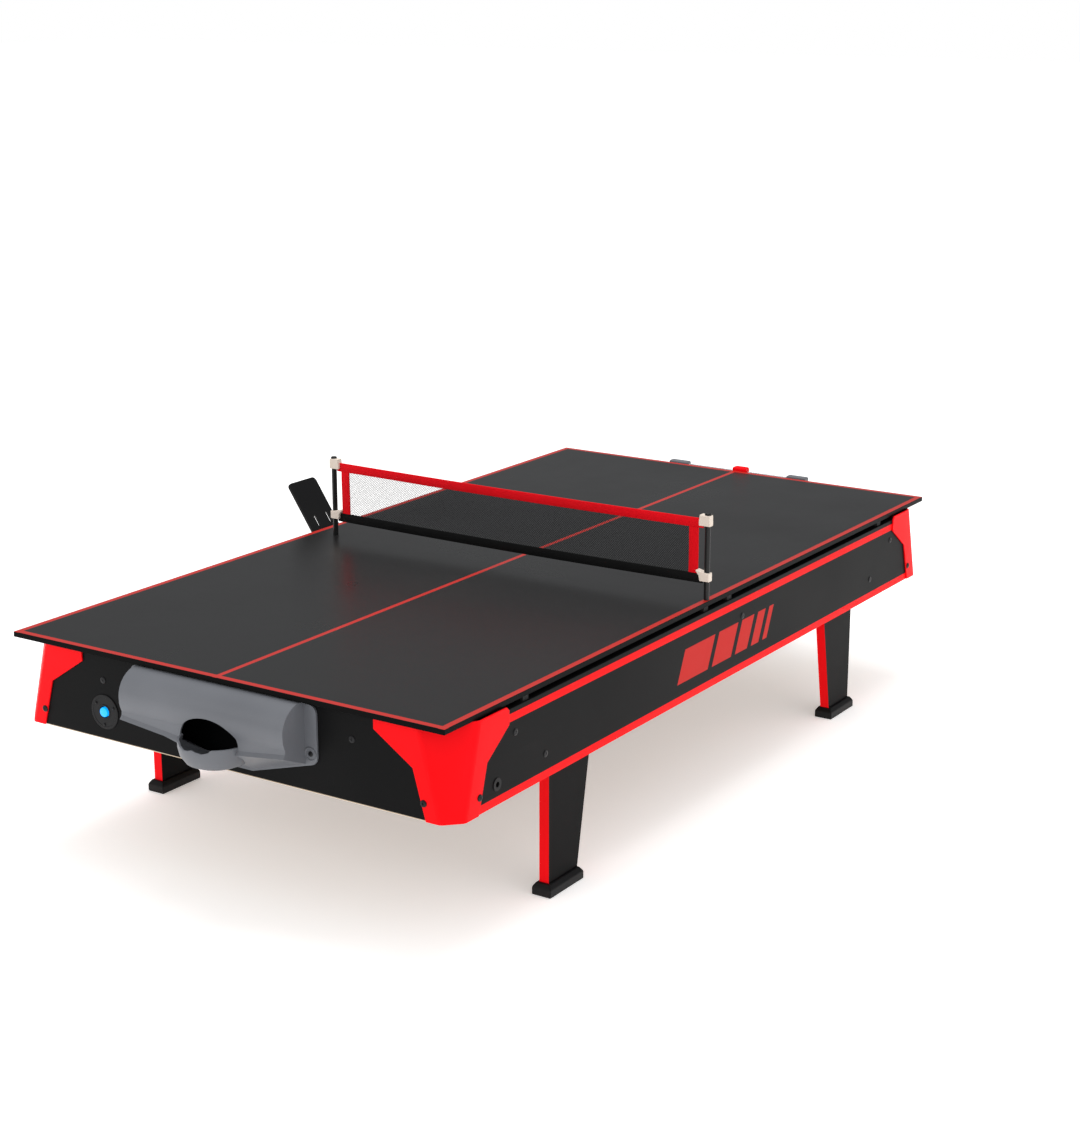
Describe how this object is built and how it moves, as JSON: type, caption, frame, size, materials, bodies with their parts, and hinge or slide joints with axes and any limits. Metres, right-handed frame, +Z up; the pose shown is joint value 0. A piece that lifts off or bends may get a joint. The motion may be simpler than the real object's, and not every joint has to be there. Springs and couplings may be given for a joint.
{
  "type": "mini table tennis and air hockey table",
  "caption": "Low mini games table on short board legs: air hockey cabinet with catch boxes, under a lift-off table tennis board with net.",
  "frame": {"origin": "centre of the base of the whole object's bounding box, on the floor; the table's own centre plane lies 26.5 mm to the -Y side, because the tilting plate stands out on +Y", "axes": "+X along the table from the power button's end to the score counter's end, +Z up, so -Y is the long side with the power inlet"},
  "size_m": [1.222, 0.6422, 0.349],
  "materials": {
    "board_laminate": "satin black melamine on thin fibreboard, with printed red lines",
    "felt": "soft black felt",
    "panel_laminate": "satin black laminate on fibreboard, printed red stripes",
    "leg_laminate": "satin black laminate on fibreboard",
    "red_edging": "red plastic edge strip",
    "red_plastic": "bright red moulded plastic, fine satin grain",
    "black_plastic": "black moulded plastic",
    "raw_wood": "raw pine and fibreboard",
    "rail_plastic": "satin dark grey extruded plastic",
    "playfield_laminate": "gloss white laminate with air holes",
    "hardboard": "brown hardboard",
    "grey_plastic": "satin blue-grey moulded plastic",
    "black_screws": "black zinc",
    "bright_steel": "bright steel",
    "lit_blue": "translucent blue cap, lit from inside",
    "cream_plastic": "cream moulded plastic",
    "red_tape": "red woven tape",
    "black_tape": "black woven tape",
    "mesh": "fine dark knotted mesh",
    "post_enamel": "black enamelled steel",
    "black_enamel": "black powder coat"
  },
  "bodies": {
    "cabinet": {"base_panel": "hardboard", "bezel_screws": "black_screws", "blower_housing": "black_plastic", "blower_shaft": "bright_steel", "corner_blocks": "raw_wood", "corner_bumpers": "rail_plastic", "corner_cover_far_left": "red_plastic", "corner_cover_far_right": "red_plastic", "corner_cover_near_left": "red_plastic", "corner_cover_near_right": "red_plastic", "corner_cover_screws": "black_screws", "cross_ribs": "raw_wood", "end_panel_far": "panel_laminate", "end_panel_near": "panel_laminate", "end_rails": "rail_plastic", "fan_guard": "black_plastic", "foot_far_left": "black_plastic", "foot_far_right": "black_plastic", "foot_near_left": "black_plastic", "foot_near_right": "black_plastic", "goal_box_far": "grey_plastic", "goal_box_near": "grey_plastic", "goal_box_screws": "black_screws", "leg_blocks": "raw_wood", "leg_bolts": "black_screws", "leg_edge_bands": "red_edging", "leg_far_left": "leg_laminate", "leg_far_right": "leg_laminate", "leg_near_left": "leg_laminate", "leg_near_right": "leg_laminate", "panel_screws": "black_screws", "plate_bracket": "black_enamel", "plate_bracket_screws": "black_screws", "plate_pin": "bright_steel", "playfield": "playfield_laminate", "playfield_cleats": "raw_wood", "power_bezel": "black_plastic", "power_inlet": "black_plastic", "score_end_blocks": "grey_plastic", "score_rod": "bright_steel", "side_panel_left": "panel_laminate", "side_panel_right": "panel_laminate", "side_rail_left": "rail_plastic", "side_rail_right": "rail_plastic", "switch_body": "black_plastic"},
    "top_board": {"rest_pads": "felt", "top_board": "board_laminate"},
    "net": {"net_bottom_band": "black_tape", "net_clips_lower": "cream_plastic", "net_clips_upper": "cream_plastic", "net_mesh": "mesh", "net_post_caps": "post_enamel", "net_post_left": "post_enamel", "net_post_right": "post_enamel", "net_side_bands": "red_tape", "net_top_band": "red_tape"},
    "button": {"power_button": "lit_blue"},
    "score_marker": {"score_slider": "red_plastic"},
    "tilting_plate": {"side_plate": "black_plastic"},
    "impeller": {"blower_impeller": "black_plastic"}
  },
  "joints": [
    {"name": "board_lift", "type": "slide", "parent": "cabinet", "child": "top_board", "axis": [0, 0, 1], "range_m": [0, 0.12]},
    {"name": "net_lift", "type": "slide", "parent": "top_board", "child": "net", "axis": [0, 0, 1], "range_m": [0, 0.06]},
    {"name": "button_press", "type": "slide", "parent": "cabinet", "child": "button", "axis": [1, 0, 0], "range_m": [0, 0.002], "stiffness_N_per_m": 400},
    {"name": "score_slide", "type": "slide", "parent": "cabinet", "child": "score_marker", "axis": [0, 1, 0], "range_m": [-0.064, 0.074]},
    {"name": "plate_tilt", "type": "hinge", "parent": "cabinet", "child": "tilting_plate", "pos_m": [0.005, 0.27347, 0.228], "axis": [1, 0, 0], "range_deg": [-50, 30]},
    {"name": "impeller_spin", "type": "hinge", "parent": "cabinet", "child": "impeller", "pos_m": [0.06, -0.02653, 0.16], "axis": [0, 0, 1], "continuous": true}
  ]
}
